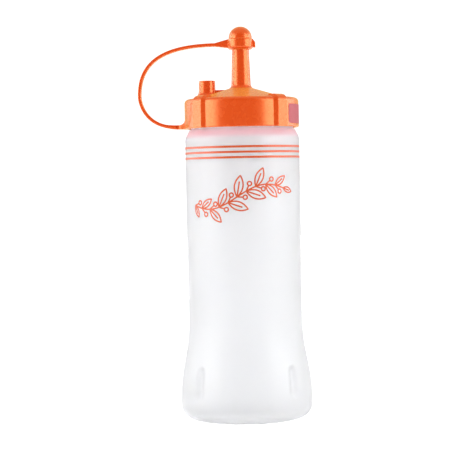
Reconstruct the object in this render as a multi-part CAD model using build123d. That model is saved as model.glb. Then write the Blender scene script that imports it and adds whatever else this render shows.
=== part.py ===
from build123d import *
from math import asin, atan2, cos, degrees, hypot, radians, tan
import os

# Condiment squeeze bottle, in millimetres. +Z is up, the origin is on the bottle's axis at its base,
# and the strap that ties the tip cap to the screw cap loops out towards -X.

# Bottle body: blow-moulded soft polyethylene. Its foot flares out from the straight wall, the skirt of
# the cap stands a little proud of that wall, and the neck leaves room in the skirt for both threads.
wall = 1.2
neck_wall = 1.6
belly_r = 32.55
flare_width = 5.25
flare_start_z = 21.8
flare_end_z = 45.7
flare_bend_share = 0.958
base_corner = 8.4
foot_ring_width = 4.4
base_recess = 2.5
recess_slope_width = 3.5
recess_round = 2.0
foot_edge_round = 0.6
body_height = 165.3
shoulder_drop = 4.9
shoulder_slope_width = 2.65
shoulder_low_round = 6.0
shoulder_top_round = 0.45
neck_root_round = 0.25
neck_inside_round = 3.0
neck_height = 13.75
lip_round = 0.4

# Four upright dents pressed into the foot, across the lower bend of the flare
flute_count = 4
flute_first_deg = 47.5
flute_below_bend = 4.3
flute_above_bend = 7.4
flute_low_r = 3.4
flute_high_r = 2.5
flute_depth = 1.4

# Three ink bands under the shoulder. They and the sticker lie a hair's breadth off what they are stuck to.
skin_gap = 0.1
stripe_count = 3
stripe_below_shoulder = 10.45
stripe_pitch = 2.95
stripe_height = 1.2
ink_thickness = 0.08

# Screw thread that the neck and the cap share, right-handed
lead = 5.0
thread_turns = 1.25
thread_root_width = 1.9
thread_crest_width = 0.9
neck_thread_depth = 1.3
cap_thread_depth = 1.2
thread_below_lip = 3.2
flank_gap = 0.15
thread_sink = 0.25

# Sealing ring between the lip and the cap's roof
seal_thickness = 1.5
seal_set_back = 0.2
seal_side_gap = 0.25
seal_gap = 0.05

# Screw cap: skirt, flat rim, shallow cone and nozzle
cap_proud = 0.05
skirt_wall = 1.7
thread_room = 1.8
skirt_gap = 0.65
cap_corner = 2.4
skirt_edge_round = 0.5
roof = 2.1
roof_corner = 0.25
rim_width = 6.2
cone_slope_deg = 16.8
cone_edge_round = 8.0
nozzle_root_r = 5.6
nozzle_tip_r = 4.5
nozzle_height = 36.1
nozzle_root_round = 2.6
nozzle_tip_round = 0.5
nozzle_wall = 1.5
channel_mouth_round = 1.2
channel_ledge_share = 0.7
outlet_r = 1.6
outlet_length = 5.0

# Four lugs that part the skirt's four panels; each bends over the cap's corner and runs in to the cone
lug_count = 4
lug_height = 1.4
lug_base_half_width = 5.35
lug_crest_half_width = 3.4
lug_corner = 0.7
lug_over_deck = 1.35
lug_sink = 1.0
lug_bend_round = 2.6
lug_reach_in = 6.0

# Parking peg for the tip cap, with a hollow flare at its root and a low brace to the nozzle
peg_inside_cone_edge = 6.9
peg_base_r = 4.9
peg_top_r = 4.65
peg_height = 10.6
peg_flare = 5.4
peg_flare_edge = 0.2
peg_top_round = 0.6
peg_wall = 1.5
brace_width = 2.4
brace_height = 5.2

# Tether tab at the skirt's bottom edge
tab_root_half_width = 9.5
tab_neck_reach = 2.6
tab_reach = 4.7
tab_thickness = 2.4
tab_sweep = 3.0
tab_crease_round = 3.2

# Strap: flat, bent in the XZ plane. Its loop stands this far out from the skirt, is upright at this share
# of its height, and leaves both ends level. The fullness of its two curves is a share of their runs.
strap_width = 4.6
strap_thickness = 1.9
strap_reach = 25.77
strap_waist_share = 0.389
strap_top_fullness = (0.494, 0.86)
strap_low_fullness = (0.185, 0.882)

# Tip cap: a round head over a wider, bowl-shaped skirt
tip_cap_mouth_below_tip = 8.1
tip_wall = 1.75
tip_crown_flat = 0.2
tip_roof_gap = 0.1
tip_roof = 5.0
tip_head_side = 0.7
tip_skirt_step = 0.65
tip_bowl_round = 2.0
tip_skirt_round = 0.35
tip_neck_round = 0.3
tip_fit = 0.06
plug_length = 3.0
plug_fit = 0.1
thumb_reach = 1.3
thumb_width = 5.0
thumb_height = 4.6
thumb_edge_height = 3.2
thumb_above_mouth = 1.2
thumb_round = 0.8
strap_lug_reach = 7.25
strap_lug_rise = 2.9
strap_lug_drop = 1.9
strap_above_mouth = 3.03

# Sticker on the cap's right panel, between two lugs
label_above_skirt_edge = 1.9
label_below_deck = 4.1
label_side_gap_deg = 2.0
label_thickness = 0.1

# Radii that follow from the sizes above
base_r = belly_r + flare_width
foot_inner_r = base_r - base_corner - foot_ring_width
cap_r = belly_r + cap_proud
cap_inner_r = cap_r - skirt_wall
neck_r = cap_inner_r - thread_room
shoulder_top_r = belly_r - shoulder_slope_width
cone_r = cap_r - rim_width
peg_x = peg_inside_cone_edge - cone_r

# Heights that follow from the sizes above
lip_z = body_height + neck_height
seal_z = lip_z + seal_gap
seat_z = seal_z + seal_thickness + seal_gap
deck_z = seat_z + roof
skirt_z = body_height + skirt_gap
cone_rise = tan(radians(cone_slope_deg))
cone_top_z = deck_z + (cone_r - nozzle_root_r) * cone_rise
nozzle_top_z = deck_z + nozzle_height
nozzle_taper = (nozzle_root_r - nozzle_tip_r) / (nozzle_top_z - cone_top_z)

# The tip cap's sizes that follow from the nozzle that it fits, and the strap's two ends
mouth_z = nozzle_top_z - tip_cap_mouth_below_tip
tip_bore_r = nozzle_tip_r + nozzle_taper * tip_cap_mouth_below_tip + tip_fit
tip_cap_r = tip_bore_r + tip_wall
tip_dome_round = tip_cap_r - tip_crown_flat
tip_skirt_r = tip_cap_r + tip_skirt_step
strap_top_z = mouth_z + strap_above_mouth
strap_low_z = skirt_z + tab_thickness / 2
tab_end_x = -(cap_r + tab_reach)
strap_lug_x = -(tip_skirt_r + strap_lug_reach)
strap_left_x = -(cap_r + strap_reach)
above = 1.0


def turned(outline, rounds):
    """A solid turned about Z from a closed (radius, z) outline whose corners have these rounds."""
    line = FilletPolyline(*[(r, 0, z) for r, z in outline], radius=rounds, close=True)
    return revolve(make_face(line.edges()), Axis.Z)


def flare_round():
    """The radius of the flare's two bends, which take this share of the run between them."""
    turn = atan2(flare_width, flare_end_z - flare_start_z)
    run = hypot(flare_width, flare_end_z - flare_start_z)
    bend_length = flare_bend_share * min(run / 2, flare_start_z - base_corner)
    return bend_length / tan(turn / 2)


def flare_radius(z):
    """The body's outer radius on the flare, taken as a straight run between its two bends."""
    share = (z - flare_start_z) / (flare_end_z - flare_start_z)
    half_angle = asin(flare_width / (2 * flare_round())) / 2
    if share < 0:
        return base_r - (flare_round() * (1 / cos(half_angle) - 1)) * max(0.0, 1 + share)
    return base_r - flare_width * min(share, 1.0)


def flute_tool(azimuth, extra):
    """A tapered, round-ended bar that presses one dent; extra grows it for the inside of the wall."""
    low_z, high_z = flare_start_z - flute_below_bend, flare_start_z + flute_above_bend
    low_x = flare_radius(low_z) + flute_low_r - flute_depth
    high_x = flare_radius(high_z) + flute_high_r - flute_depth
    low, high = Vector(low_x, 0, low_z), Vector(high_x, 0, high_z)
    along = high - low
    bar = Plane(origin=(low + high) / 2, z_dir=along) * Cone(
        flute_low_r + extra, flute_high_r + extra, along.length
    )
    bar += Pos(*low) * Sphere(flute_low_r + extra)
    bar += Pos(*high) * Sphere(flute_high_r + extra)
    return Rot(0, 0, azimuth - 90) * bar


def thread(root_r, crest_r, low_z):
    """A trapezoid thread wound up from low_z, between the radii root_r and crest_r."""
    path = Helix(pitch=lead, height=lead * thread_turns, radius=root_r, center=(0, 0, low_z))
    start = Plane(origin=path @ 0, x_dir=(1, 0, 0), z_dir=path % 0)
    sink = thread_sink if crest_r < root_r else -thread_sink
    tip = crest_r - root_r
    half_root, half_crest = thread_root_width / 2, thread_crest_width / 2
    corners = [(sink, -half_root), (tip, -half_crest), (tip, half_crest), (sink, half_root)]
    return sweep(start * make_face(Polyline(*corners, close=True)), path=path, is_frenet=True)


def neck_thread_low_z():
    """Where the middle of the neck's thread starts."""
    return lip_z - thread_below_lip - lead * thread_turns


def half_width(depth, full_depth):
    """Half the thread's width at this depth from its root."""
    return (thread_root_width - (thread_root_width - thread_crest_width) * depth / full_depth) / 2


def bottle_body():
    """Revolved wall with a recessed base, an open neck with its thread, and the dents in the foot."""
    outside = turned(
        [
            (0, base_recess),
            (foot_inner_r - recess_slope_width, base_recess),
            (foot_inner_r, 0),
            (base_r, 0),
            (base_r, flare_start_z),
            (belly_r, flare_end_z),
            (belly_r, body_height - shoulder_drop),
            (shoulder_top_r, body_height),
            (neck_r, body_height),
            (neck_r, lip_z),
            (0, lip_z),
        ],
        [0, recess_round, foot_edge_round, base_corner, flare_round(), flare_round()]
        + [shoulder_low_round, shoulder_top_round, neck_root_round, lip_round, 0],
    )
    inside = turned(
        [
            (0, base_recess + wall),
            (foot_inner_r - recess_slope_width + wall / 2, base_recess + wall),
            (foot_inner_r + wall / 2, wall),
            (base_r - wall, wall),
            (base_r - wall, flare_start_z),
            (belly_r - wall, flare_end_z),
            (belly_r - wall, body_height - shoulder_drop),
            (neck_r - neck_wall, body_height),
            (neck_r - neck_wall, lip_z + above),
            (0, lip_z + above),
        ],
        [0, recess_round, foot_edge_round, base_corner - wall, flare_round() - wall]
        + [flare_round() + wall, shoulder_low_round - wall, neck_inside_round, 0, 0],
    )
    for n in range(flute_count):
        azimuth = flute_first_deg + n * 360 / flute_count
        outside -= flute_tool(azimuth, 0)
        inside -= flute_tool(azimuth, wall)
    return outside + thread(neck_r, neck_r + neck_thread_depth, neck_thread_low_z()) - inside


def printed_stripes():
    """Three thin bands of ink that wrap the straight wall."""
    rings = []
    inner_r = belly_r + skin_gap
    for n in range(stripe_count):
        band = Cylinder(inner_r + ink_thickness, stripe_height) - Cylinder(inner_r, stripe_height)
        rings.append(Pos(0, 0, body_height - stripe_below_shoulder - n * stripe_pitch) * band)
    return Compound(children=rings)


def sealing_ring():
    """Flat ring, loose in the cap's roof, that the cap presses on the lip."""
    outer_r = cap_inner_r - seal_side_gap
    inner_r = neck_r - neck_wall + seal_set_back
    ring = Cylinder(outer_r, seal_thickness) - Cylinder(inner_r, seal_thickness)
    return Pos(0, 0, seal_z + seal_thickness / 2) * ring


def lug(azimuth):
    """One lug with sloping flanks, proud of the skirt and the deck: a rib swept over the cap's corner."""
    base_x = cap_r * cos(asin(lug_base_half_width / cap_r)) - cap_r
    outline = FilletPolyline(
        (-lug_sink, -lug_base_half_width),
        (base_x, -lug_base_half_width),
        (lug_height, -lug_crest_half_width),
        (lug_height, lug_crest_half_width),
        (base_x, lug_base_half_width),
        (-lug_sink, lug_base_half_width),
        radius=[0, 0, lug_corner, lug_corner, 0, 0],
        close=True,
    )
    bend_z = deck_z + lug_over_deck - lug_height
    route = FilletPolyline(
        (cap_r, 0, skirt_z), (cap_r, 0, bend_z), (cap_r - lug_reach_in, 0, bend_z), radius=lug_bend_round
    )
    start = Plane(origin=route @ 0, x_dir=(1, 0, 0), z_dir=route % 0)
    return Rot(0, 0, azimuth) * sweep(start * make_face(outline.edges()), path=route)


def parking_peg():
    """Short post on the cone, in the strap's plane, that holds the tip cap while the bottle is used."""
    top_z = deck_z + peg_height
    post = turned(
        [
            (0, seat_z),
            (peg_base_r + peg_flare, seat_z),
            (peg_base_r + peg_flare, deck_z),
            (peg_base_r, deck_z),
            (peg_top_r, top_z),
            (0, top_z),
        ],
        [0, 0, 0, peg_flare - peg_flare_edge, peg_top_round, 0],
    )
    return Pos(peg_x, 0, 0) * post


def tether_tab():
    """Flat tab at the skirt's edge that narrows to the strap's width, with a hollow rise to the skirt."""
    half = strap_width / 2
    outline = FilletPolyline(
        (-cap_inner_r, tab_root_half_width),
        (-(cap_r + tab_neck_reach), half),
        (tab_end_x, half),
        (tab_end_x, -half),
        (-(cap_r + tab_neck_reach), -half),
        (-cap_inner_r, -tab_root_half_width),
        radius=[0, tab_sweep, 0, 0, tab_sweep, 0],
        close=True,
    )
    outer_r, top_z = cap_r + tab_reach + above, skirt_z + tab_thickness
    rise_z = top_z + tab_crease_round + above
    collar = turned(
        [
            (cap_inner_r, skirt_z),
            (outer_r, skirt_z),
            (outer_r, top_z),
            (cap_r, top_z),
            (cap_r, rise_z),
            (cap_inner_r, rise_z),
        ],
        [0, 0, 0, tab_crease_round, 0, 0],
    )
    return collar & Pos(0, 0, skirt_z) * extrude(make_face(outline.edges()), rise_z - skirt_z)


def screw_cap():
    """Moulded cap: skirt, lugs, cone, nozzle and peg outside; thread, seal seat and channel inside."""
    shell = turned(
        [
            (0, skirt_z),
            (cap_r, skirt_z),
            (cap_r, deck_z),
            (cone_r, deck_z),
            (nozzle_root_r, cone_top_z),
            (nozzle_tip_r, nozzle_top_z),
            (0, nozzle_top_z),
        ],
        [0, skirt_edge_round, cap_corner, cone_edge_round, nozzle_root_round, nozzle_tip_round, 0],
    )
    for n in range(lug_count):
        shell += lug((n + 0.5) * 360 / lug_count)
    shell += parking_peg()
    brace = Box(-peg_x, brace_width, brace_height, align=(Align.MAX, Align.CENTER, Align.MIN))
    shell += Pos(0, 0, deck_z) * brace
    shell += tether_tab()
    channel_low_r = nozzle_root_r - nozzle_wall
    channel_high_r = nozzle_tip_r - nozzle_wall + nozzle_taper * outlet_length
    channel_end_round = channel_ledge_share * (channel_high_r - outlet_r)
    hollow = turned(
        [
            (0, skirt_z - above),
            (cap_inner_r, skirt_z - above),
            (cap_inner_r, seat_z),
            (cone_r, seat_z),
            (channel_low_r, seat_z + (cone_r - channel_low_r) * cone_rise),
            (channel_high_r, nozzle_top_z - outlet_length),
            (outlet_r, nozzle_top_z - outlet_length),
            (outlet_r, nozzle_top_z + above),
            (0, nozzle_top_z + above),
        ],
        [0, 0, roof_corner, 0, channel_mouth_round, channel_end_round, 0, 0, 0],
    )
    core_height = peg_height + roof - peg_wall
    peg_core = Pos(peg_x, 0, seat_z + core_height / 2) * Cylinder(peg_top_r - peg_wall, core_height)
    depth = neck_thread_depth
    facing = half_width(depth, neck_thread_depth) + half_width(cap_inner_r - neck_r - depth, cap_thread_depth)
    low_z = neck_thread_low_z() - facing - flank_gap
    return shell - hollow - peg_core + thread(cap_inner_r, cap_inner_r - cap_thread_depth, low_z)


def cap_label():
    """Thin bare sticker on the panel opposite the strap."""
    low_z, high_z = skirt_z + label_above_skirt_edge, deck_z - label_below_deck
    inner_r, outer_r = cap_r + skin_gap, cap_r + skin_gap + label_thickness
    outline = Polyline(
        (inner_r, 0, low_z), (outer_r, 0, low_z), (outer_r, 0, high_z), (inner_r, 0, high_z), close=True
    )
    lug_half_deg = degrees(asin(lug_base_half_width / cap_r))
    half_deg = 180 / lug_count - lug_half_deg - label_side_gap_deg
    band = revolve(make_face(outline.edges()), Axis.Z, revolution_arc=2 * half_deg)
    return Rot(0, 0, -half_deg) * band


def tether_strap():
    """Flat strap from the tip cap's lug, out and down in one loop, to the tab on the skirt."""
    top, low = Vector(strap_lug_x, 0, strap_top_z), Vector(tab_end_x, 0, strap_low_z)
    waist = Vector(strap_left_x, 0, strap_low_z + strap_waist_share * (strap_top_z - strap_low_z))
    top_out, top_up = strap_top_fullness
    low_down, low_out = strap_low_fullness
    upper = Bezier(
        top,
        top + Vector(waist.X - top.X, 0, 0) * top_out,
        waist + Vector(0, 0, top.Z - waist.Z) * top_up,
        waist,
    )
    lower = Bezier(
        waist,
        waist + Vector(0, 0, low.Z - waist.Z) * low_down,
        low + Vector(waist.X - low.X, 0, 0) * low_out,
        low,
    )
    route = Wire([upper, lower])
    start = Plane(origin=route @ 0, x_dir=(0, 1, 0), z_dir=route % 0)
    return sweep(start * Rectangle(strap_width, strap_thickness), path=route)


def tip_cap():
    """Round-headed cap that pushes over the nozzle's tip, with a plug that enters the outlet."""
    roof_z = nozzle_top_z + tip_roof_gap
    top_z = roof_z + tip_roof
    skirt_top_z = top_z - tip_dome_round - tip_head_side
    head = turned(
        [
            (0, mouth_z),
            (tip_skirt_r, mouth_z),
            (tip_skirt_r, skirt_top_z),
            (tip_cap_r, skirt_top_z),
            (tip_cap_r, top_z),
            (0, top_z),
        ],
        [0, tip_bowl_round, tip_skirt_round, tip_neck_round, tip_dome_round, 0],
    )
    thumb_x, thumb_z = tip_skirt_r + thumb_reach, mouth_z + thumb_above_mouth
    thumb_outline = Polyline(
        (0, 0, thumb_z),
        (thumb_x, 0, thumb_z),
        (thumb_x, 0, thumb_z + thumb_edge_height),
        (tip_skirt_r, 0, thumb_z + thumb_height),
        (0, 0, thumb_z + thumb_height),
        close=True,
    )
    thumb = extrude(make_face(thumb_outline.edges()), thumb_width / 2, both=True)
    head += fillet(thumb.edges().filter_by(Axis.Z).sort_by(Axis.X)[-2:], thumb_round)
    lug_outline = Polyline(
        (0, 0, strap_top_z + strap_lug_rise),
        (-tip_skirt_r, 0, strap_top_z + strap_lug_rise),
        (strap_lug_x, 0, strap_top_z + strap_thickness / 2),
        (strap_lug_x, 0, strap_top_z - strap_thickness / 2),
        (-tip_skirt_r, 0, strap_top_z - strap_lug_drop),
        (0, 0, strap_top_z - strap_lug_drop),
        close=True,
    )
    head += extrude(make_face(lug_outline.edges()), strap_width / 2, both=True)
    bore_length = roof_z - mouth_z
    bore = Pos(0, 0, mouth_z + bore_length / 2) * Cylinder(tip_bore_r, bore_length)
    plug = Pos(0, 0, roof_z - plug_length / 2) * Cylinder(outlet_r - plug_fit, plug_length)
    return head - bore + plug


pieces = {
    "bottle_body": bottle_body,
    "printed_stripes": printed_stripes,
    "sealing_ring": sealing_ring,
    "screw_cap": screw_cap,
    "cap_label": cap_label,
    "tether_strap": tether_strap,
    "tip_cap": tip_cap,
}

os.makedirs("parts", exist_ok=True)
for name, make in pieces.items():
    export_step(make(), f"parts/{name}.step")
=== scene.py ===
from math import ceil, cos, degrees, hypot, pi, radians, sin, tan

import bmesh
import bpy
from mathutils import Matrix, Vector


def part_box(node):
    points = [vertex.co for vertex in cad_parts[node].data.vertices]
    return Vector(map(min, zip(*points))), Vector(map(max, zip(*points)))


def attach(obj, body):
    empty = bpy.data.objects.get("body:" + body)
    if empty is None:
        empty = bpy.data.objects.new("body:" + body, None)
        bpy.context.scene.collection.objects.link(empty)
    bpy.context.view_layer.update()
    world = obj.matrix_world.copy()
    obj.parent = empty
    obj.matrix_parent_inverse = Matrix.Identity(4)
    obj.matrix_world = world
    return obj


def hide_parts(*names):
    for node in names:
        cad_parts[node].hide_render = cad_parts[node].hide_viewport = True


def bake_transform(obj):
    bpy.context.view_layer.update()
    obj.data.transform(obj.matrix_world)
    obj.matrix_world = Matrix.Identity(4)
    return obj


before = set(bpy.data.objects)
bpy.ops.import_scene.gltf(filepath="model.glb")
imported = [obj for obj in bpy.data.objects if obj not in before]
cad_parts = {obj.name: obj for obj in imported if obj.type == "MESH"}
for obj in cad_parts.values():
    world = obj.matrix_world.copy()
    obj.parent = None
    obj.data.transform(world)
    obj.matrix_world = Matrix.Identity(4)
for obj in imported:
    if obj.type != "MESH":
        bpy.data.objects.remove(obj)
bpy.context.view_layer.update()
mm = 0.001

# Bottle: one blow-moulded piece of soft low-density polyethylene, 1.2 mm thick on the wall and thicker
# at the neck. The two mould halves leave a fine parting line up both sides and a pinch-off across the
# base, and four dents in the foot stiffen it. The screw thread is hidden by the cap until that turns.
wall = 1.2 * mm
neck_wall = 1.6 * mm
wall_r = 32.55 * mm
wall_start_z = 58 * mm
foot_r = 37.8 * mm
foot_corner = 8.4 * mm
foot_ring_r = 25 * mm
foot_ring_round = 0.6 * mm
base_recess = 2.5 * mm
base_slope = 3.5 * mm
base_round = 2 * mm
flare_low_z = 21.8 * mm
flare_high_z = 45.7 * mm
flare_round = 107.9 * mm
shoulder_low_z = 160.4 * mm
shoulder_round = 6.0 * mm
shoulder_z = 165.3 * mm
shoulder_top_r = 29.9 * mm
shoulder_top_round = 0.45 * mm
neck_r = 29.1 * mm
neck_root_round = 0.25 * mm
neck_inner_round = 3 * mm
lip_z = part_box("bottle_body")[1].z
lip_round = 0.4 * mm

dent_count = 4
dent_first = radians(47.5 - 90)
dent_low_z = 17.5 * mm
dent_high_z = 29.2 * mm
dent_low_half = 3.6 * mm
dent_high_half = 2.9 * mm
dent_depth = 1.5 * mm

thread_lead = 5.0 * mm
thread_turns = 1.25
thread_depth = 1.3 * mm
thread_root_half = 0.95 * mm
thread_crest_half = 0.45 * mm
thread_below_lip = 3.2 * mm
thread_low_z = lip_z - thread_below_lip - thread_lead * thread_turns
thread_runout = radians(14)
thread_clear_z = shoulder_z + 1 * mm

parting_height = 0.06 * mm
parting_half = 0.5 * mm
pinch_height = 0.35 * mm
pinch_half = 0.8 * mm
pinch_length = 34 * mm

arc_degrees = 9
plain_step = 3.0 * mm
foot_step = 1.3 * mm
neck_step = 0.28 * mm
around = 240


def rounded(corners):
    """Points along an outline of (radius, height, round) corners, with an arc at each round."""
    points = []
    for n, (r, z, size) in enumerate(corners):
        here = Vector((r, z))
        if size == 0:
            points.append(here)
            continue
        back = (Vector(corners[n - 1][:2]) - here).normalized()
        ahead = (Vector(corners[(n + 1) % len(corners)][:2]) - here).normalized()
        turn = pi - back.angle(ahead)
        centre = here + (back + ahead).normalized() * size / cos(turn / 2)
        spoke = here + back * size * tan(turn / 2) - centre
        way = 1 if back.cross(ahead) < 0 else -1
        steps = max(3, ceil(degrees(turn) / arc_degrees))
        for k in range(steps + 1):
            points.append(centre + Matrix.Rotation(way * turn * k / steps, 2) @ spoke)
    return points


def divided(points, step):
    """The same line with points added, so that no run is longer than step."""
    line = [points[0]]
    for a, b in zip(points, points[1:]):
        parts = max(1, ceil((b - a).length / step))
        line += [a.lerp(b, k / parts) for k in range(1, parts + 1)]
    return line


def evenly(count):
    """Azimuths at equal steps round the axis."""
    return [n * 2 * pi / count for n in range(count)]


def placed(name, data):
    """A mesh, curve, lamp or camera as an object of the scene."""
    made = bpy.data.objects.new(name, data)
    bpy.context.scene.collection.objects.link(made)
    return made


def as_drawn(n, point, azimuth):
    """A point of a plain turned skin stays where its outline has it."""
    return tuple(point)


def turned(name, outline, azimuths, put=as_drawn, closed=False):
    """A skin turned from an outline; it ends in poles on the axis or, if closed, runs round a bore."""
    skin = bmesh.new()
    rows = []
    for n, point in enumerate(outline):
        if not closed and n in (0, len(outline) - 1):
            rows.append([skin.verts.new((0, 0, point.y))])
            continue
        ring = [put(n, point, a) for a in azimuths]
        rows.append([skin.verts.new((r * cos(a), r * sin(a), z)) for a, (r, z) in zip(azimuths, ring)])
    if closed:
        rows.append(rows[0])
    columns = len(azimuths)
    for low, high in zip(rows, rows[1:]):
        for k in range(columns):
            following = (k + 1) % columns
            corners = [low[k % len(low)], low[following % len(low)]]
            corners += [high[following % len(high)], high[k % len(high)]]
            skin.faces.new(list(dict.fromkeys(corners)))
    bmesh.ops.recalc_face_normals(skin, faces=skin.faces)
    mesh = bpy.data.meshes.new(name)
    skin.to_mesh(mesh)
    skin.free()
    mesh.shade_smooth()
    return placed(name, mesh)


def apart(a, b):
    """The angle between two azimuths."""
    return abs((a - b + pi) % (2 * pi) - pi)


def dent(azimuth, z):
    """How deep the foot is pressed in here: four upright troughs with round ends, shallow at their rims."""
    along = min(max(z, dent_low_z), dent_high_z)
    share = (along - dent_low_z) / (dent_high_z - dent_low_z)
    half = dent_low_half + (dent_high_half - dent_low_half) * share
    nearest = min(apart(azimuth, dent_first + turn) for turn in evenly(dent_count))
    distance = hypot(nearest * foot_r, z - along)
    return dent_depth * (1 - (distance / half) ** 2) ** 1.5 if distance < half else 0


def neck_ridge(azimuth, z):
    """The height of the neck's thread here, with its two ends run out to nothing."""
    best = 0
    for turn in (azimuth % (2 * pi), azimuth % (2 * pi) + 2 * pi):
        last = thread_turns * 2 * pi
        if turn > last:
            continue
        off = abs(z - thread_low_z - thread_lead * turn / (2 * pi))
        flank = (thread_root_half - off) / (thread_root_half - thread_crest_half)
        runout = min(1, turn / thread_runout, (last - turn) / thread_runout)
        best = max(best, thread_depth * min(1, max(0, flank)) * runout)
    return best


outside = divided(
    rounded(
        [
            (0, base_recess, 0),
            (foot_ring_r - base_slope, base_recess, base_round),
            (foot_ring_r, 0, foot_ring_round),
            (foot_r, 0, foot_corner),
            (foot_r, flare_low_z, flare_round),
            (wall_r, flare_high_z, flare_round),
            (wall_r, wall_start_z, 0),
        ]
    ),
    foot_step,
)
outside += divided([outside[-1], Vector((wall_r, shoulder_low_z - shoulder_round))], plain_step)[1:]
outside += divided(
    rounded(
        [
            (wall_r, shoulder_low_z - shoulder_round, 0),
            (wall_r, shoulder_low_z, shoulder_round),
            (shoulder_top_r, shoulder_z, shoulder_top_round),
            (neck_r, shoulder_z, neck_root_round),
            (neck_r, lip_z, lip_round),
            (neck_r - neck_wall / 2, lip_z, 0),
        ]
    ),
    neck_step,
)[1:]
inner_wall_r = wall_r - wall
inner_neck_r = neck_r - neck_wall
inside = divided(
    rounded(
        [
            (neck_r - neck_wall / 2, lip_z, 0),
            (inner_neck_r, lip_z, lip_round),
            (inner_neck_r, shoulder_z, neck_inner_round),
            (inner_wall_r, shoulder_low_z, shoulder_round - wall),
            (inner_wall_r, flare_high_z, flare_round + wall),
            (foot_r - wall, flare_low_z, flare_round - wall),
            (foot_r - wall, wall, foot_corner - wall),
            (foot_ring_r + wall / 2, wall, foot_ring_round),
            (foot_ring_r - base_slope + wall / 2, base_recess + wall, base_round),
            (0, base_recess + wall, 0),
        ]
    ),
    plain_step,
)[1:]
beside_parting = [radians(d) for d in (-0.9, -0.45, 0.45, 0.9)]
azimuths = evenly(around) + [side + off for side in (0, pi) for off in beside_parting]
azimuths = sorted(a % (2 * pi) for a in azimuths)


def bottle_point(n, point, azimuth):
    """Where a point of the bottle's skin goes, with its dents, thread, parting line and pinch-off."""
    r, z = point
    from_parting = min(apart(azimuth, 0), apart(azimuth, pi)) * r
    if dent_low_z - dent_low_half < z < dent_high_z + dent_high_half:
        r -= dent(azimuth, z)
    if n >= len(outside):
        return r, z
    from_pinch = abs(r * sin(azimuth))
    if z > thread_clear_z:
        r += neck_ridge(azimuth, z)
    elif z > foot_corner and from_parting < parting_half:
        r = min(foot_r, r + parting_height * (1 - (from_parting / parting_half) ** 2))
    elif r < pinch_length / 2 and from_pinch < pinch_half:
        z -= pinch_height * (1 - (from_pinch / pinch_half) ** 2) ** 2
    return r, z


bottle = turned("bottle", outside + inside, azimuths, bottle_point)


def linear(code):
    """The linear colour of an sRGB hex code."""
    parts = [int(code[n : n + 2], 16) / 255 for n in (0, 2, 4)]
    return (*(p / 12.92 if p <= 0.04045 else ((p + 0.055) / 1.055) ** 2.4 for p in parts), 1)


def add(tree, kind, values={}, **settings):
    """Adds a node with its settings. A socket takes a value, another socket, a node's first output, or a
    list of these. In a Mix node, sockets 6 and 7 are the two colours, and output 2 is the mixed one."""
    made = tree.nodes.new(kind)
    for name, value in settings.items():
        setattr(made, name, value)
    for socket, value in values.items():
        for source in value if isinstance(value, list) else [value]:
            if isinstance(source, bpy.types.Node):
                source = source.outputs[0]
            if isinstance(source, bpy.types.NodeSocket):
                tree.links.new(source, made.inputs[socket])
            else:
                made.inputs[socket].default_value = source
    return made


def new_material(name):
    """An empty material, its tree, and the object's coordinates there."""
    material = bpy.data.materials.new(name)
    material.use_nodes = True
    tree = material.node_tree
    tree.nodes.clear()
    return material, tree, add(tree, "ShaderNodeTexCoord").outputs["Object"]


def dress(piece, material):
    """Gives a piece this material alone."""
    piece.data.materials.clear()
    piece.data.materials.append(material)


# Frosted low-density polyethylene: milky and see-through at once, with a waxy sheen. The mould's blasted
# steel gives it a fine grain, drawn at 0.7 mm, and the wall's uneven thickness clouds it over 25 mm. Just
# below the cap, a pink tint of the cap's colour is painted on the shoulder as a painted reflection, and a
# faint painted glow there stands in for light that the wall would carry up.
milk_dull, milk_clear = "F6F7F9", "FCFCFD"
# Colours of the painted pink tint and the painted glow below the cap.
painted_cap_tint_colour, painted_glow_colour = "FFD2D8", "FFC8D8"
grain = 0.7 * mm
clouding = 25 * mm
noise_low, noise_high = 0.3, 0.7
haze_least, haze_most = 0.34, 0.44
# Reach, share and strength of the painted tint and painted glow below the cap.
painted_light_reach = 5.6 * mm
painted_tint_share = 0.6
painted_tint_fade = 2.24 * mm
painted_tint_left = 0.06
painted_glow_strength = 0.2

ldpe, tree, place = new_material("frosted_ldpe")
clouds = add(tree, "ShaderNodeTexNoise", {"Vector": place, "Scale": 1 / clouding, "Detail": 2})
milk = add(
    tree,
    "ShaderNodeMix",
    {0: clouds.outputs["Fac"], 6: linear(milk_dull), 7: linear(milk_clear)},
    data_type="RGBA",
)
height = add(tree, "ShaderNodeSeparateXYZ", {0: place}).outputs["Z"]
# Painted light: this zone sets where the shoulder below the cap gets the painted pink tint and the painted
# glow.
painted_light_zone = add(
    tree,
    "ShaderNodeMapRange",
    {"Value": height, "From Min": shoulder_z - painted_light_reach, "From Max": shoulder_z - painted_light_reach / 2}
    | {"To Min": 0, "To Max": painted_tint_share},
    interpolation_type="SMOOTHSTEP",
)
# Painted reflection: the pink tint fades out towards the shoulder's top.
painted_tint_mask = add(
    tree,
    "ShaderNodeMapRange",
    {"Value": height, "From Min": shoulder_z - painted_tint_fade, "From Max": shoulder_z}
    | {"To Min": painted_light_zone, "To Max": painted_tint_left},
    interpolation_type="SMOOTHSTEP",
)
# Painted glow: the emission fades out above the shoulder's top.
painted_glow_mask = add(
    tree,
    "ShaderNodeMapRange",
    {"Value": height, "From Min": shoulder_z, "From Max": shoulder_z + painted_light_reach / 2}
    | {"To Min": painted_light_zone, "To Max": 0},
    interpolation_type="SMOOTHSTEP",
)
# The milk's colour mixed with the painted pink tint, which stands in for the cap's colour seen through the
# wall.
milk_with_painted_tint = add(
    tree,
    "ShaderNodeMix",
    {0: painted_tint_mask, 6: milk.outputs[2], 7: linear(painted_cap_tint_colour)},
    data_type="RGBA",
)
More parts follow.
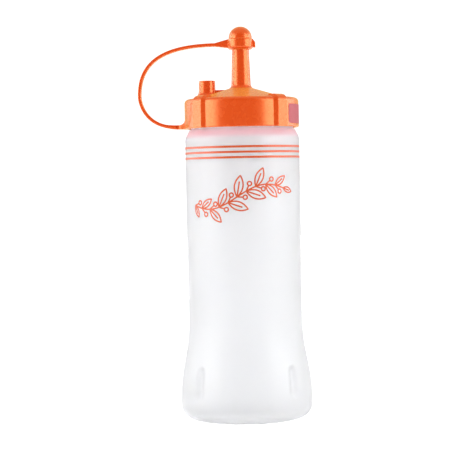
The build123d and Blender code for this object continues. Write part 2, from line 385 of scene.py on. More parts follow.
# Strength of the painted glow, an emission where there is no lamp.
painted_glow = add(tree, "ShaderNodeMath", {0: painted_glow_mask, 1: painted_glow_strength}, operation="MULTIPLY")
haze = add(
    tree,
    "ShaderNodeMapRange",
    {"Value": clouds.outputs["Fac"], "From Min": noise_low, "From Max": noise_high}
    | {"To Min": haze_least, "To Max": haze_most},
)
pits = add(tree, "ShaderNodeTexNoise", {"Vector": place, "Scale": 1 / grain, "Detail": 3})
relief = add(
    tree, "ShaderNodeBump", {"Height": pits.outputs["Fac"], "Strength": 0.25, "Distance": 0.03 * mm}
)
skin = add(
    tree,
    "ShaderNodeBsdfPrincipled",
    {
        "Base Color": milk_with_painted_tint.outputs[2],
        "Roughness": haze,
        "IOR": 1.51,
        "Specular IOR Level": 0.1,
        "Transmission Weight": 0.65,
        "Subsurface Weight": 0.3,
        "Subsurface Radius": (2 * mm, 2 * mm, 2.2 * mm),
        "Subsurface Scale": 1,
        # The emission is a painted glow below the cap, not a lamp.
        "Emission Color": linear(painted_glow_colour),
        "Emission Strength": painted_glow,
        "Normal": relief,
    },
)
add(tree, "ShaderNodeOutputMaterial", {"Surface": skin})
dress(bottle, ldpe)
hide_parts("bottle_body")
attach(bottle, "bottle")


# Printed bands: three rings of orange screen ink under the shoulder, squeegeed on while the bottle turns
# against the screen, so each is an even film with crisp edges.
band_count = 3
band_top_z = shoulder_z - 10.45 * mm
band_pitch = 2.95 * mm
band_height = 1.2 * mm
ink_lift = 0.02 * mm
ink_depth = 0.08 * mm

# Screen ink: a vinyl ink that dries to a soft sheen. The mesh of the screen leaves it faintly uneven,
# drawn at 0.4 mm.
ink_deep, ink_thin = "D65010", "DE5C1A"
screen_mesh = 0.4 * mm
ink, tree, place = new_material("orange_screen_ink")
weave = add(tree, "ShaderNodeTexNoise", {"Vector": place, "Scale": 1 / screen_mesh, "Detail": 1})
coat = add(
    tree,
    "ShaderNodeMix",
    {0: weave.outputs["Fac"], 6: linear(ink_deep), 7: linear(ink_thin)},
    data_type="RGBA",
)
relief = add(
    tree, "ShaderNodeBump", {"Height": weave.outputs["Fac"], "Strength": 0.15, "Distance": 0.01 * mm}
)
skin = add(
    tree,
    "ShaderNodeBsdfPrincipled",
    {"Base Color": coat.outputs[2], "Roughness": 0.38, "IOR": 1.5, "Normal": relief},
)
add(tree, "ShaderNodeOutputMaterial", {"Surface": skin})


def new_growth(name, sockets):
    """A Geometry Nodes tree with these named inputs, and what its input node gives."""
    tree = bpy.data.node_groups.new(name, "GeometryNodeTree")
    for socket, kind in sockets.items():
        tree.interface.new_socket(socket, in_out="INPUT", socket_type="NodeSocket" + kind)
    tree.interface.new_socket("Mesh", in_out="OUTPUT", socket_type="NodeSocketGeometry")
    return tree, add(tree, "NodeGroupInput").outputs


def grown(name, tree, geometry, finish, values, sharp=radians(40)):
    """Ends a tree at this geometry and finish, and gives its plain mesh as a piece."""
    real = add(tree, "GeometryNodeRealizeInstances", {"Geometry": geometry})
    dressed = add(tree, "GeometryNodeSetMaterial", {"Geometry": real, "Material": finish})
    add(tree, "NodeGroupOutput", {0: dressed})
    piece = placed(name, bpy.data.meshes.new(name))
    growth = piece.modifiers.new("growth", "NODES")
    growth.node_group = tree
    for item in tree.interface.items_tree:
        if item.name in values:
            growth[item.identifier] = values[item.name]
    seen = piece.evaluated_get(bpy.context.evaluated_depsgraph_get())
    piece.data = bpy.data.meshes.new_from_object(seen)
    piece.modifiers.clear()
    piece.data.shade_smooth()
    piece.data.set_sharp_from_angle(angle=sharp)
    return piece


tree, given = new_growth(
    "screen_printed_bands",
    {"Radius": "Float", "Depth": "Float", "Height": "Float", "Top": "Float", "Pitch": "Float"}
    | {"Count": "Int", "Ink": "Material"},
)
circle = add(tree, "GeometryNodeCurvePrimitiveCircle", {"Resolution": around, "Radius": given["Radius"]})
upright = add(tree, "GeometryNodeSetCurveNormal", {"Curve": circle}, mode="Z_UP")
section = add(
    tree, "GeometryNodeCurvePrimitiveQuadrilateral", {"Width": given["Depth"], "Height": given["Height"]}
)
band = add(tree, "GeometryNodeCurveToMesh", {"Curve": upright, "Profile Curve": section})
first = add(tree, "ShaderNodeCombineXYZ", {"Z": given["Top"]})
fall = add(tree, "ShaderNodeMath", {0: given["Pitch"], 1: -1}, operation="MULTIPLY")
step = add(tree, "ShaderNodeCombineXYZ", {"Z": fall})
places = add(
    tree, "GeometryNodeMeshLine", {"Count": given["Count"], "Start Location": first, "Offset": step}
)
copies = add(tree, "GeometryNodeInstanceOnPoints", {"Points": places, "Instance": band})
bands = grown(
    "printed_bands",
    tree,
    copies,
    given["Ink"],
    {
        "Radius": wall_r + ink_lift + ink_depth / 2,
        "Depth": ink_depth,
        "Height": band_height,
        "Top": band_top_z,
        "Pitch": band_pitch,
        "Count": band_count,
        "Ink": ink,
    },
)
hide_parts("printed_stripes")
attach(bands, "bottle")

# Printed sprig: a plain line drawing of leaves and berries on the front, in the same ink and laid on in
# the same pass as the bands. It grows flat, at its real size, and is then wrapped on the wall.
sprig_length = 56 * mm
sprig_wave = 4.2 * mm
sprig_tilt = 0.16
sprig_z = 127 * mm
sprig_side = -2 * mm
leaf_count = 11
leaf_length = 11.5 * mm
leaf_width = 4.6 * mm
leaf_turn = radians(48)
leaf_least_size = 0.62
leaf_size_swell = 0.42
rib_share = 0.72
berry_r = 1.15 * mm
berry_turn = radians(-36)
stalk_length = 3.4 * mm
line_width = 0.8 * mm

tree, given = new_growth(
    "leaf_sprig",
    {"Length": "Float", "Wave": "Float", "Tilt": "Float", "Leaves": "Int", "Leaf Length": "Float"}
    | {"Leaf Width": "Float", "Leaf Turn": "Float", "Least Size": "Float", "Size Swell": "Float"}
    | {"Rib Share": "Float", "Berry Radius": "Float", "Berry Turn": "Float", "Stalk": "Float"}
    | {"Line": "Float", "Depth": "Float", "Wall Radius": "Float", "Side": "Float", "Height": "Float"}
    | {"Ink": "Material"},
)
here = add(tree, "GeometryNodeInputPosition")
spot = add(tree, "ShaderNodeSeparateXYZ", {0: here}).outputs

# The stem: a straight line bent into one wave and tilted
left = add(tree, "ShaderNodeMath", {0: given["Length"], 1: -0.5}, operation="MULTIPLY")
right = add(tree, "ShaderNodeMath", {0: given["Length"], 1: 0.5}, operation="MULTIPLY")
stem_start = add(tree, "ShaderNodeCombineXYZ", {"X": left})
stem_end = add(tree, "ShaderNodeCombineXYZ", {"X": right})
line = add(tree, "GeometryNodeCurvePrimitiveLine", {"Start": stem_start, "End": stem_end})
fine = add(tree, "GeometryNodeResampleCurve", {"Curve": line, "Count": 90})
share = add(tree, "ShaderNodeMath", {0: spot["X"], 1: given["Length"]}, operation="DIVIDE")
angle = add(tree, "ShaderNodeMath", {0: share, 1: 2 * pi}, operation="MULTIPLY")
sway = add(tree, "ShaderNodeMath", {0: angle}, operation="SINE")
wave = add(tree, "ShaderNodeMath", {0: sway, 1: given["Wave"]}, operation="MULTIPLY")
rise = add(tree, "ShaderNodeMath", {0: spot["X"], 1: given["Tilt"], 2: wave}, operation="MULTIPLY_ADD")
lift = add(tree, "ShaderNodeCombineXYZ", {"Y": rise})
stem = add(tree, "GeometryNodeSetPosition", {"Geometry": fine, "Offset": lift})

# Leaves stand left and right in turn and are longest at mid-stem; the last one points straight ahead
number = add(tree, "GeometryNodeInputIndex")
odd = add(tree, "ShaderNodeMath", {0: number, 1: 2}, operation="MODULO")
side = add(tree, "ShaderNodeMath", {0: odd, 1: 2, 2: -1}, operation="MULTIPLY_ADD")
last = add(tree, "ShaderNodeMath", {0: given["Leaves"], 1: 1}, operation="SUBTRACT")
to_go = add(tree, "ShaderNodeMath", {0: last, 1: number}, operation="SUBTRACT")
before_last = add(tree, "ShaderNodeMath", {0: to_go, 1: 1}, operation="MINIMUM")
share = add(tree, "ShaderNodeMath", {0: number, 1: last}, operation="DIVIDE")
angle = add(tree, "ShaderNodeMath", {0: share, 1: pi}, operation="MULTIPLY")
swell = add(tree, "ShaderNodeMath", {0: angle}, operation="SINE")
size = add(
    tree,
    "ShaderNodeMath",
    {0: swell, 1: given["Size Swell"], 2: given["Least Size"]},
    operation="MULTIPLY_ADD",
)


def on_stem(drawn, turn, scale):
    """Copies of a drawn curve along the stem, each turned from the stem's own way by turn."""
    points = add(tree, "GeometryNodeCurveToPoints", {"Curve": stem, "Count": given["Leaves"]})
    way = add(tree, "ShaderNodeSeparateXYZ", {0: points.outputs["Tangent"]}).outputs
    heading = add(tree, "ShaderNodeMath", {0: way["Y"], 1: way["X"]}, operation="ARCTAN2")
    turned_to = add(tree, "ShaderNodeMath", {0: heading, 1: turn}, operation="ADD")
    rotation = add(tree, "ShaderNodeCombineXYZ", {"Z": turned_to})
    values = {"Points": points, "Instance": drawn, "Rotation": rotation, "Scale": scale}
    return add(tree, "GeometryNodeInstanceOnPoints", values)


ring = add(tree, "GeometryNodeCurvePrimitiveCircle", {"Resolution": 40, "Radius": 0.5})
from_root = add(tree, "ShaderNodeMath", {0: spot["X"], 1: 0.5}, operation="ADD")
leaf_x = add(tree, "ShaderNodeMath", {0: from_root, 1: given["Leaf Length"]}, operation="MULTIPLY")
aside = add(tree, "ShaderNodeMath", {0: spot["Y"]}, operation="ABSOLUTE")
pointed = add(tree, "ShaderNodeMath", {0: aside, 1: spot["Y"]}, operation="MULTIPLY")
doubled = add(tree, "ShaderNodeMath", {0: pointed, 1: 2}, operation="MULTIPLY")
leaf_y = add(tree, "ShaderNodeMath", {0: doubled, 1: given["Leaf Width"]}, operation="MULTIPLY")
leaf_spot = add(tree, "ShaderNodeCombineXYZ", {"X": leaf_x, "Y": leaf_y})
edge = add(tree, "GeometryNodeSetPosition", {"Geometry": ring, "Position": leaf_spot})
rib_x = add(
    tree, "ShaderNodeMath", {0: given["Leaf Length"], 1: given["Rib Share"]}, operation="MULTIPLY"
)
rib_end = add(tree, "ShaderNodeCombineXYZ", {"X": rib_x})
rib = add(tree, "GeometryNodeCurvePrimitiveLine", {"Start": (0, 0, 0), "End": rib_end})
rib = add(tree, "GeometryNodeResampleCurve", {"Curve": rib, "Count": 16})
leaf = add(tree, "GeometryNodeJoinGeometry", {"Geometry": [edge, rib]})
leaf_angle = add(tree, "ShaderNodeMath", {0: side, 1: given["Leaf Turn"]}, operation="MULTIPLY")
leaf_angle = add(tree, "ShaderNodeMath", {0: leaf_angle, 1: before_last}, operation="MULTIPLY")
leaves = on_stem(leaf, leaf_angle, size)

berry = add(
    tree, "GeometryNodeCurvePrimitiveCircle", {"Resolution": 24, "Radius": given["Berry Radius"]}
)
berry_x = add(tree, "ShaderNodeMath", {0: given["Stalk"], 1: given["Berry Radius"]}, operation="ADD")
berry_spot = add(tree, "ShaderNodeCombineXYZ", {"X": berry_x})
hung = add(tree, "GeometryNodeTransform", {"Geometry": berry, "Translation": berry_spot})
stalk_end = add(tree, "ShaderNodeCombineXYZ", {"X": given["Stalk"]})
stalk = add(tree, "GeometryNodeCurvePrimitiveLine", {"Start": (0, 0, 0), "End": stalk_end})
stalk = add(tree, "GeometryNodeResampleCurve", {"Curve": stalk, "Count": 8})
fruit = add(tree, "GeometryNodeJoinGeometry", {"Geometry": [hung, stalk]})
berry_angle = add(tree, "ShaderNodeMath", {0: side, 1: given["Berry Turn"]}, operation="MULTIPLY")
berries = on_stem(fruit, berry_angle, before_last)

# Every line gets the ink's section, and the flat drawing is bent round the wall's axis
drawing = add(tree, "GeometryNodeJoinGeometry", {"Geometry": [stem, leaves, berries]})
lines = add(tree, "GeometryNodeRealizeInstances", {"Geometry": drawing})
flat = add(tree, "GeometryNodeSetCurveNormal", {"Curve": lines}, mode="Z_UP")
thin = add(tree, "GeometryNodeSetCurveRadius", {"Curve": flat, "Radius": 1.0})
section = add(
    tree, "GeometryNodeCurvePrimitiveQuadrilateral", {"Width": given["Line"], "Height": given["Depth"]}
)
inked = add(
    tree, "GeometryNodeCurveToMesh", {"Curve": thin, "Profile Curve": section, "Fill Caps": True}
)
across = add(tree, "ShaderNodeMath", {0: spot["X"], 1: given["Side"]}, operation="ADD")
bend = add(tree, "ShaderNodeMath", {0: across, 1: given["Wall Radius"]}, operation="DIVIDE")
reach = add(tree, "ShaderNodeMath", {0: spot["Z"], 1: given["Wall Radius"]}, operation="ADD")
sine = add(tree, "ShaderNodeMath", {0: bend}, operation="SINE")
wall_x = add(tree, "ShaderNodeMath", {0: sine, 1: reach}, operation="MULTIPLY")
cosine = add(tree, "ShaderNodeMath", {0: bend}, operation="COSINE")
out = add(tree, "ShaderNodeMath", {0: cosine, 1: reach}, operation="MULTIPLY")
wall_y = add(tree, "ShaderNodeMath", {0: out, 1: -1}, operation="MULTIPLY")
wall_z = add(tree, "ShaderNodeMath", {0: spot["Y"], 1: given["Height"]}, operation="ADD")
on_wall = add(tree, "ShaderNodeCombineXYZ", {"X": wall_x, "Y": wall_y, "Z": wall_z})
wrapped = add(tree, "GeometryNodeSetPosition", {"Geometry": inked, "Position": on_wall})
sprig = grown(
    "printed_sprig",
    tree,
    wrapped,
    given["Ink"],
    {
        "Length": sprig_length,
        "Wave": sprig_wave,
        "Tilt": sprig_tilt,
        "Leaves": leaf_count,
        "Leaf Length": leaf_length,
        "Leaf Width": leaf_width,
        "Leaf Turn": leaf_turn,
        "Least Size": leaf_least_size,
        "Size Swell": leaf_size_swell,
        "Rib Share": rib_share,
        "Berry Radius": berry_r,
        "Berry Turn": berry_turn,
        "Stalk": stalk_length,
        "Line": line_width,
        "Depth": ink_depth,
        "Wall Radius": wall_r + ink_lift + ink_depth / 2,
        "Side": sprig_side,
        "Height": sprig_z,
        "Ink": ink,
    },
)
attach(sprig, "bottle")

# Sealing ring: a flat washer of white silicone that lies loose in the cap's roof. The lip has pressed a
# shallow track into its underside.
seal_low_z, seal_high_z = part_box("sealing_ring")[0].z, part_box("sealing_ring")[1].z
seal_outer_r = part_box("sealing_ring")[1].x
seal_inner_r = inner_neck_r + 0.2 * mm
seal_round = 0.25 * mm
track_depth = 0.08 * mm
track_slope = 0.2 * mm
seal_outline = rounded(
    [
        (seal_inner_r, seal_high_z, seal_round),
        (seal_inner_r, seal_low_z + track_depth, seal_round),
        (neck_r - track_slope, seal_low_z + track_depth, 0),
        (neck_r + track_slope, seal_low_z, 0),
        (seal_outer_r, seal_low_z, seal_round),
        (seal_outer_r, seal_high_z, seal_round),
    ]
)
seal = turned("sealing_ring_soft", seal_outline, evenly(around), closed=True)

# Silicone: moulded matt and slightly milky, with a fine talc-like grain, drawn at 0.5 mm.
silicone_dull, silicone_pale = "E2E1DC", "F0EFEB"
silicone_grain = 0.5 * mm
silicone, tree, place = new_material("white_silicone")
powder = add(tree, "ShaderNodeTexNoise", {"Vector": place, "Scale": 1 / silicone_grain, "Detail": 2})
chalk = add(
    tree,
    "ShaderNodeMix",
    {0: powder.outputs["Fac"], 6: linear(silicone_dull), 7: linear(silicone_pale)},
    data_type="RGBA",
)
relief = add(
    tree, "ShaderNodeBump", {"Height": powder.outputs["Fac"], "Strength": 0.3, "Distance": 0.02 * mm}
)
skin = add(
    tree,
    "ShaderNodeBsdfPrincipled",
    {
        "Base Color": chalk.outputs[2],
        "Roughness": 0.62,
        "IOR": 1.41,
        "Subsurface Weight": 0.2,
        "Subsurface Radius": (1 * mm, 1 * mm, 1 * mm),
        "Subsurface Scale": 1,
        "Normal": relief,
    },
)
add(tree, "ShaderNodeOutputMaterial", {"Surface": skin})
dress(seal, silicone)
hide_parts("sealing_ring")
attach(seal, "seal")

# Screw cap: one injection-moulded piece of orange polypropylene, with the skirt and its four lugs, the
# cone, the nozzle, the parking peg and the strap's tab. Its form is the solid's own.

# Orange polypropylene: a strong pigment under a soft gloss from polished steel, which the pigment just
# below it turns warm, most of all at a slant. The pigment's flow streaks the colour over 12 mm, and the
# steel's polish leaves a faint ripple 4 mm long.
orange_deep, orange_bright = "E84000", "F04A00"
warm_gloss, warm_slant = "FFE09A", "FFCC60"
flow = 12 * mm
polish = 4 * mm
gloss_least, gloss_most = 0.25, 0.29
orange, tree, place = new_material("orange_polypropylene")
streaks = add(tree, "ShaderNodeTexNoise", {"Vector": place, "Scale": 1 / flow, "Detail": 2})
pigment = add(
    tree,
    "ShaderNodeMix",
    {0: streaks.outputs["Fac"], 6: linear(orange_deep), 7: linear(orange_bright)},
    data_type="RGBA",
)
ripple = add(tree, "ShaderNodeTexNoise", {"Vector": place, "Scale": 1 / polish, "Detail": 1})
gloss = add(
    tree,
    "ShaderNodeMapRange",
    {"Value": ripple.outputs["Fac"], "From Min": noise_low, "From Max": noise_high}
    | {"To Min": gloss_least, "To Max": gloss_most},
)
relief = add(
    tree, "ShaderNodeBump", {"Height": ripple.outputs["Fac"], "Strength": 0.06, "Distance": 0.01 * mm}
)
skin = add(
    tree,
    "ShaderNodeBsdfPrincipled",
    {
        "Base Color": pigment.outputs[2],
        "Roughness": gloss,
        "IOR": 1.49,
        "Specular IOR Level": 1.0,
        "Specular Tint": linear(warm_gloss),
        "Sheen Weight": 1.0,
        "Sheen Roughness": 0.45,
        "Sheen Tint": linear(warm_slant),
        "Normal": relief,
    },
)
add(tree, "ShaderNodeOutputMaterial", {"Surface": skin})
dress(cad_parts["screw_cap"], orange)

# Sticker: a small piece of coral vinyl film with rounded corners, rubbed down on the skirt's right panel
# between two lugs, and left bare.
cap_r = 32.6 * mm
sticker_low_z, sticker_high_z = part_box("cap_label")[0].z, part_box("cap_label")[1].z
sticker_half = radians(33.5)
sticker_corner = 1.3 * mm
sticker_lift = 0.03 * mm
sticker_depth = 0.1 * mm
sticker_columns = 48
film = bmesh.new()
rows = []
for n in range(sticker_columns + 1):
    azimuth = -sticker_half * cos(pi * n / sticker_columns)
    into = max(0, sticker_corner - (sticker_half - abs(azimuth)) * cap_r)
    cut = sticker_corner - (sticker_corner**2 - into**2) ** 0.5
    low, high = sticker_low_z + cut, sticker_high_z - cut
    inner, outer = cap_r + sticker_lift, cap_r + sticker_lift + sticker_depth
    corners = ((inner, low), (outer, low), (outer, high), (inner, high))
    rows.append([film.verts.new((r * cos(azimuth), r * sin(azimuth), z)) for r, z in corners])
for here, there in zip(rows, rows[1:]):
    for a, b in zip(range(4), (1, 2, 3, 0)):
        film.faces.new((here[a], here[b], there[b], there[a]))
film.faces.new(rows[0])
film.faces.new(rows[-1])
bmesh.ops.recalc_face_normals(film, faces=film.faces)
sticker_mesh = bpy.data.meshes.new("bare_sticker")
film.to_mesh(sticker_mesh)
film.free()
sticker_mesh.shade_smooth()
sticker_mesh.set_sharp_from_angle(angle=radians(40))
sticker = placed("bare_sticker", sticker_mesh)

# Vinyl film: printed coral with a satin face, and the slight orange peel that glue leaves, 2 mm across.
coral_deep, coral_pale = "B43C46", "BE4650"
glue_peel = 2 * mm
vinyl, tree, place = new_material("coral_vinyl_film")
peel = add(tree, "ShaderNodeTexNoise", {"Vector": place, "Scale": 1 / glue_peel, "Detail": 1})
coral = add(
    tree,
    "ShaderNodeMix",
    {0: peel.outputs["Fac"], 6: linear(coral_deep), 7: linear(coral_pale)},
    data_type="RGBA",
)
relief = add(
    tree, "ShaderNodeBump", {"Height": peel.outputs["Fac"], "Strength": 0.25, "Distance": 0.03 * mm}
)
skin = add(
    tree,
    "ShaderNodeBsdfPrincipled",
    {
        "Base Color": coral.outputs[2],
        "Roughness": 0.42,
        "IOR": 1.5,
        "Specular IOR Level": 0.3,
        "Normal": relief,
    },
)
add(tree, "ShaderNodeOutputMaterial", {"Surface": skin})
dress(sticker, vinyl)
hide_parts("cap_label")
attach(sticker, "cap")

# Tip cap: moulded in one shot with the strap, in the same orange. A round head sits on a bowl-shaped
# skirt with a thumb tab on one side and the strap's root on the other, and all its edges are soft.
tip_low_z, tip_high_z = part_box("tip_cap")[0].z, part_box("tip_cap")[1].z
tip_bore_r = 4.86 * mm
tip_bore_round = 0.3 * mm
tip_rim_round = 0.2 * mm
tip_skirt_r = 7.26 * mm
tip_skirt_round = 1.7 * mm
tip_notch_z = tip_high_z - 7.11 * mm
tip_notch_round = 0.35 * mm
tip_head_r = 6.61 * mm
tip_head_round = 0.25 * mm
tip_crown_flat = 0.1 * mm
tip_roof_z = tip_high_z - 5.0 * mm
plug_r = 1.5 * mm
plug_length = 3.0 * mm
plug_round = 0.3 * mm
plug_root_round = 0.2 * mm

thumb_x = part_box("tip_cap")[1].x
thumb_half = 2.5 * mm
thumb_low_z = tip_low_z + 1.2 * mm
thumb_edge_z = thumb_low_z + 2.9 * mm
thumb_bevel_z = thumb_low_z + 3.6 * mm
thumb_top_z = thumb_low_z + 4.6 * mm
thumb_bevel = 0.5 * mm
thumb_nose = 0.7 * mm
thumb_droop = 0.2 * mm

strap_half = 2.3 * mm
strap_thickness = 1.9 * mm
root_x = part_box("tip_cap")[0].x
root_z = tip_low_z + 3.03 * mm
root_low_z = root_z - 1.9 * mm
root_top_z = root_z + 2.9 * mm
slab_start = tip_bore_r + 0.4 * mm

tip_step = 0.5 * mm
tip_around = 96
tip_grid = 0.14 * mm

tip_outline = rounded(
    [
        (0, tip_roof_z - plug_length, 0),
        (plug_r, tip_roof_z - plug_length, plug_round),
        (plug_r, tip_roof_z, plug_root_round),
        (tip_bore_r, tip_roof_z, tip_bore_round),
        (tip_bore_r, tip_low_z, tip_rim_round),
        (tip_skirt_r, tip_low_z, tip_skirt_round),
        (tip_skirt_r, tip_notch_z, tip_notch_round),
        (tip_head_r, tip_notch_z, tip_head_round),
        (tip_head_r, tip_high_z, tip_head_r - tip_crown_flat),
        (0, tip_high_z, 0),
    ]
)
head = turned("tip_head", divided(tip_outline, tip_step), evenly(tip_around))


def slab(skin, outline, half_width):
    """Adds an upright slab to a skin: an (x, z) outline in the strap's plane, this wide to each side."""
    sides = [[skin.verts.new((x, y, z)) for x, z in outline] for y in (-half_width, half_width)]
    faces = [skin.faces.new(side) for side in sides]
    for n in range(len(outline)):
        following = (n + 1) % len(outline)
        corners = (sides[0][n], sides[0][following], sides[1][following], sides[1][n])
        faces.append(skin.faces.new(corners))
    bmesh.ops.recalc_face_normals(skin, faces=faces)


lump = bmesh.new()
lump.from_mesh(head.data)
slab(
    lump,
    [
        (slab_start, thumb_low_z),
        (thumb_x - thumb_nose, thumb_low_z),
        (thumb_x, thumb_low_z - thumb_droop),
        (thumb_x, thumb_edge_z),
        (thumb_x - thumb_bevel, thumb_bevel_z),
        (tip_skirt_r, thumb_top_z),
        (slab_start, thumb_top_z),
    ],
    thumb_half,
)
slab(
    lump,
    [
        (-slab_start, root_low_z),
        (-tip_skirt_r, root_low_z),
        (root_x, root_z - strap_thickness / 2),
        (root_x, root_z + strap_thickness / 2),
        (-tip_skirt_r, root_top_z),
        (-slab_start, root_top_z),
    ],
    strap_half,
)
lump.to_mesh(head.data)
lump.free()
fused = head.modifiers.new("fused", "REMESH")
fused.mode = "VOXEL"
fused.voxel_size = tip_grid
soft = head.modifiers.new("soft", "SMOOTH")
soft.factor = 0.5
soft.iterations = 8
seen = head.evaluated_get(bpy.context.evaluated_depsgraph_get())
tip = placed("soft_tip_cap", bpy.data.meshes.new_from_object(seen))
bpy.data.objects.remove(head)
tip.data.shade_smooth()
dress(tip, orange)
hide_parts("tip_cap")
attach(tip, "tip")

# Strap: the thin flexible runner between the two caps, moulded with them and then bent over in one loop.
# Its edges are rounded, and both its ends run into their roots without a seam.
strap_low_z = 167.15 * mm
strap_end_x = -37.3 * mm
strap_left_x = -58.37 * mm
strap_waist_share = 0.389
strap_top_out, strap_top_up = 0.494, 0.86
strap_low_down, strap_low_out = 0.185, 0.882
strap_corner = 0.55 * mm
strap_sink = 0.6 * mm
tab_thickness = 2.4 * mm
swell_length = 7 * mm

waist = Vector((strap_left_x, 0, strap_low_z + strap_waist_share * (root_z - strap_low_z)))
upper_end = Vector((root_x + strap_sink, 0, root_z))
lower_end = Vector((strap_end_x + strap_sink, 0, strap_low_z))
upper_out = upper_end + Vector((waist.x - upper_end.x, 0, 0)) * strap_top_out
waist_up = waist + Vector((0, 0, upper_end.z - waist.z)) * strap_top_up
waist_down = waist + Vector((0, 0, lower_end.z - waist.z)) * strap_low_down
lower_out = lower_end + Vector((waist.x - lower_end.x, 0, 0)) * strap_low_out
route_data = bpy.data.curves.new("strap_route", "CURVE")
route_data.dimensions = "3D"
route = route_data.splines.new("BEZIER")
route.bezier_points.add(2)
route.resolution_u = 48
for knot, (before, middle, after) in zip(
    route.bezier_points,
    (
        (upper_end, upper_end, upper_out),
        (waist_up, waist, waist_down),
        (lower_out, lower_end, lower_end),
    ),
):
    knot.handle_left_type = knot.handle_right_type = "FREE"
    knot.co, knot.handle_left, knot.handle_right = middle, before, after
route_object = placed("strap_route", route_data)

tree, given = new_growth(
    "bent_strap",
    {"Route": "Object", "Width": "Float", "Thickness": "Float", "Corner": "Float", "End Side": "Float"}
    | {"End Height": "Float", "End Thickness": "Float", "Swell Length": "Float"}
    | {"Waist Height": "Float", "Plastic": "Material"},
)
bent = add(tree, "GeometryNodeObjectInfo", {"Object": given["Route"]}).outputs["Geometry"]
even = add(tree, "GeometryNodeResampleCurve", {"Curve": bent, "Count": 160})
level = add(tree, "GeometryNodeSetCurveNormal", {"Curve": even}, mode="MINIMUM_TWIST")
section = add(
    tree,
    "GeometryNodeCurvePrimitiveQuadrilateral",
    {"Width": given["Width"], "Height": given["Thickness"]},
)
eased = add(
    tree,
    "GeometryNodeFilletCurve",
    {"Curve": section, "Count": 5, "Radius": given["Corner"]},
    mode="POLY",
)
strip = add(
    tree, "GeometryNodeCurveToMesh", {"Curve": level, "Profile Curve": eased, "Fill Caps": True}
)

# Its lower end swells to the tab's thickness
here = add(tree, "GeometryNodeInputPosition")
spot = add(tree, "ShaderNodeSeparateXYZ", {0: here}).outputs
swell_start = add(
    tree, "ShaderNodeMath", {0: given["End Side"], 1: given["Swell Length"]}, operation="SUBTRACT"
)
low_part = add(
    tree, "ShaderNodeMath", {0: spot["Z"], 1: given["Waist Height"]}, operation="LESS_THAN"
)
ratio = add(
    tree, "ShaderNodeMath", {0: given["End Thickness"], 1: given["Thickness"]}, operation="DIVIDE"
)
extra = add(tree, "ShaderNodeMath", {0: ratio, 1: 1}, operation="SUBTRACT")
thicker = add(tree, "ShaderNodeMath", {0: extra, 1: low_part}, operation="MULTIPLY")
near_end = add(
    tree,
    "ShaderNodeMapRange",
    {"Value": spot["X"], "From Min": swell_start, "From Max": given["End Side"]}
    | {"To Min": 0, "To Max": thicker},
    interpolation_type="SMOOTHSTEP",
)
off_line = add(tree, "ShaderNodeMath", {0: spot["Z"], 1: given["End Height"]}, operation="SUBTRACT")
swelling = add(tree, "ShaderNodeMath", {0: off_line, 1: near_end}, operation="MULTIPLY")
swollen_by = add(tree, "ShaderNodeCombineXYZ", {"Z": swelling})
swollen = add(tree, "GeometryNodeSetPosition", {"Geometry": strip, "Offset": swollen_by})
strap = grown(
    "bent_strap",
    tree,
    swollen,
    given["Plastic"],
    {
        "Route": route_object,
        "Width": 2 * strap_half,
        "Thickness": strap_thickness,
        "Corner": strap_corner,
        "End Side": strap_end_x,
        "End Height": strap_low_z,
        "End Thickness": tab_thickness,
        "Swell Length": swell_length,
        "Waist Height": waist.z,
        "Plastic": orange,
    },
    sharp=radians(60),
)
bpy.data.objects.remove(route_object)
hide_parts("tether_strap")
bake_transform(strap)

# Floor: white paper, as in a product photograph. What the camera, a gloss or the clear wall sees of it is
# mostly its own white, and the rest is its real shade, so that the bottle's shadow stays.
floor_half = 3.0
floor_white = 2.6
floor_white_share = 0.8
paper_colour = "FCFCFC"
floor_mesh = bpy.data.meshes.new("floor")
corners = [(x * floor_half, y * floor_half, 0) for x, y in ((-1, -1), (1, -1), (1, 1), (-1, 1))]
floor_mesh.from_pydata(corners, [], [(0, 1, 2, 3)])
floor = placed("floor", floor_mesh)
paper, tree, place = new_material("white_paper")
seen = add(tree, "ShaderNodeLightPath").outputs
either = add(tree, "ShaderNodeMath", {0: seen["Is Camera Ray"], 1: seen["Is Glossy Ray"]})
either = add(tree, "ShaderNodeMath", {0: either, 1: seen["Is Transmission Ray"]}, use_clamp=True)
own_white = add(tree, "ShaderNodeMath", {0: either, 1: floor_white_share}, operation="MULTIPLY")
matt = add(tree, "ShaderNodeBsdfDiffuse", {"Color": linear(paper_colour)})
white = add(tree, "ShaderNodeEmission", {"Color": (1, 1, 1, 1), "Strength": floor_white})
both = add(tree, "ShaderNodeMixShader", {0: own_white, 1: matt, 2: white})
add(tree, "ShaderNodeOutputMaterial", {"Surface": both})
dress(floor, paper)

# The room is white, apart from a dark gap round the camera, which only a gloss sees. To a gloss its
# sides are brighter than its roof and its far end. Roof and end fade in from their start to their full
# value, which are the Z and the Y of a ray's direction.
room_light = 0.96
clear_light = 1.2
side_light = 5.5
roof_light = 0.75
roof_start, roof_full = 0.25, 0.6
end_light = 0.7
end_start, end_full = 0.4, 0.85
gap_light = 0.015
gap_inner = radians(42)
gap_outer = radians(54)
world = bpy.data.worlds.new("white_room")
bpy.context.scene.world = world
world.use_nodes = True
tree = world.node_tree
tree.nodes.clear()
seen = add(tree, "ShaderNodeLightPath").outputs
clear = add(
    tree,
    "ShaderNodeMath",
    {0: seen["Is Camera Ray"], 1: seen["Is Transmission Ray"]},
    operation="MAXIMUM",
)
way = add(tree, "ShaderNodeSeparateXYZ", {0: add(tree, "ShaderNodeTexCoord").outputs["Generated"]}).outputs
along = add(
    tree,
    "ShaderNodeMapRange",
    {"Value": way["Y"], "From Min": end_start, "From Max": end_full}
    | {"To Min": side_light, "To Max": end_light},
    interpolation_type="SMOOTHSTEP",
)
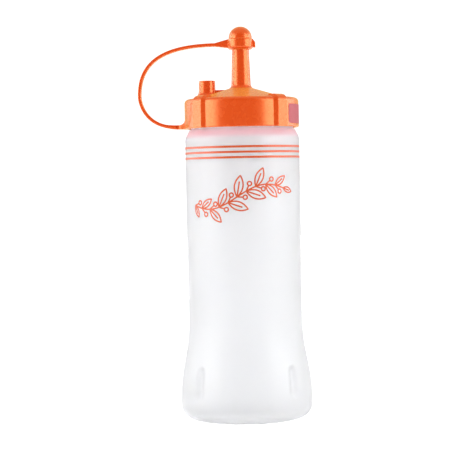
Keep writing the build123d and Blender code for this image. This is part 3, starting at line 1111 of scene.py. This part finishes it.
beside = add(
    tree,
    "ShaderNodeMapRange",
    {"Value": way["Z"], "From Min": roof_start, "From Max": roof_full}
    | {"To Min": along, "To Max": roof_light},
    interpolation_type="SMOOTHSTEP",
)
tent = add(
    tree,
    "ShaderNodeMapRange",
    {"Value": way["Y"], "From Min": -cos(gap_inner), "From Max": -cos(gap_outer)}
    | {"To Min": gap_light, "To Max": beside},
    interpolation_type="SMOOTHSTEP",
)
mirrored = add(
    tree,
    "ShaderNodeMapRange",
    {"Value": seen["Is Glossy Ray"], "To Min": room_light, "To Max": tent},
)
strength = add(
    tree, "ShaderNodeMapRange", {"Value": clear, "To Min": mirrored, "To Max": clear_light}
)
room = add(tree, "ShaderNodeBackground", {"Color": (1, 1, 1, 1), "Strength": strength})
add(tree, "ShaderNodeOutputWorld", {"Surface": room})

# Two tall soft boxes stand left and right of the camera, and fill the sides of the gap: the cap keeps its
# own colour down the middle between two pale strips. They give no diffuse light, because the
# photograph's bottle is lit evenly from edge to edge.
box_height = 1.0
box_distance = 1.0
box_z = 0.35
box_aim = Vector((0, 0, 0.13))
for name, azimuth, width, energy in (
    ("soft_box_left", radians(-70), 0.73, 5.0),
    ("soft_box_right", radians(66), 0.61, 4.4),
):
    lamp = bpy.data.lights.new(name, "AREA")
    lamp.shape = "RECTANGLE"
    lamp.size, lamp.size_y = width, box_height
    lamp.energy = energy
    box = placed(name, lamp)
    box.location = (sin(azimuth) * box_distance, -cos(azimuth) * box_distance, box_z)
    box.rotation_euler = (box_aim - box.location).to_track_quat("-Z", "Y").to_euler()
    box.visible_diffuse = False

# Camera: at the height of the bottle's upper half and 0.9 m from its axis, tipped down a little and
# rolled by a degree, as the photograph was taken.
camera_azimuth = radians(2.5)
camera_distance = 0.90
camera_z = 0.1352
camera_roll = radians(1.12)
aim_z = 0.1107
aim_left = 10.76 * mm
lens_data = bpy.data.cameras.new("camera")
lens_data.lens = 125.6
lens_data.sensor_width = 36
camera = placed("camera", lens_data)
away = Vector((sin(camera_azimuth), -cos(camera_azimuth), 0))
rightward = Vector((cos(camera_azimuth), sin(camera_azimuth), 0))
camera.location = away * camera_distance + Vector((0, 0, camera_z))
aim = rightward * -aim_left + Vector((0, 0, aim_z))
facing = (aim - camera.location).to_track_quat("-Z", "Y").to_matrix()
camera.rotation_euler = (facing @ Matrix.Rotation(-camera_roll, 3, "Z")).to_euler()
bpy.context.scene.camera = camera
bpy.context.scene.view_settings.view_transform = "Standard"
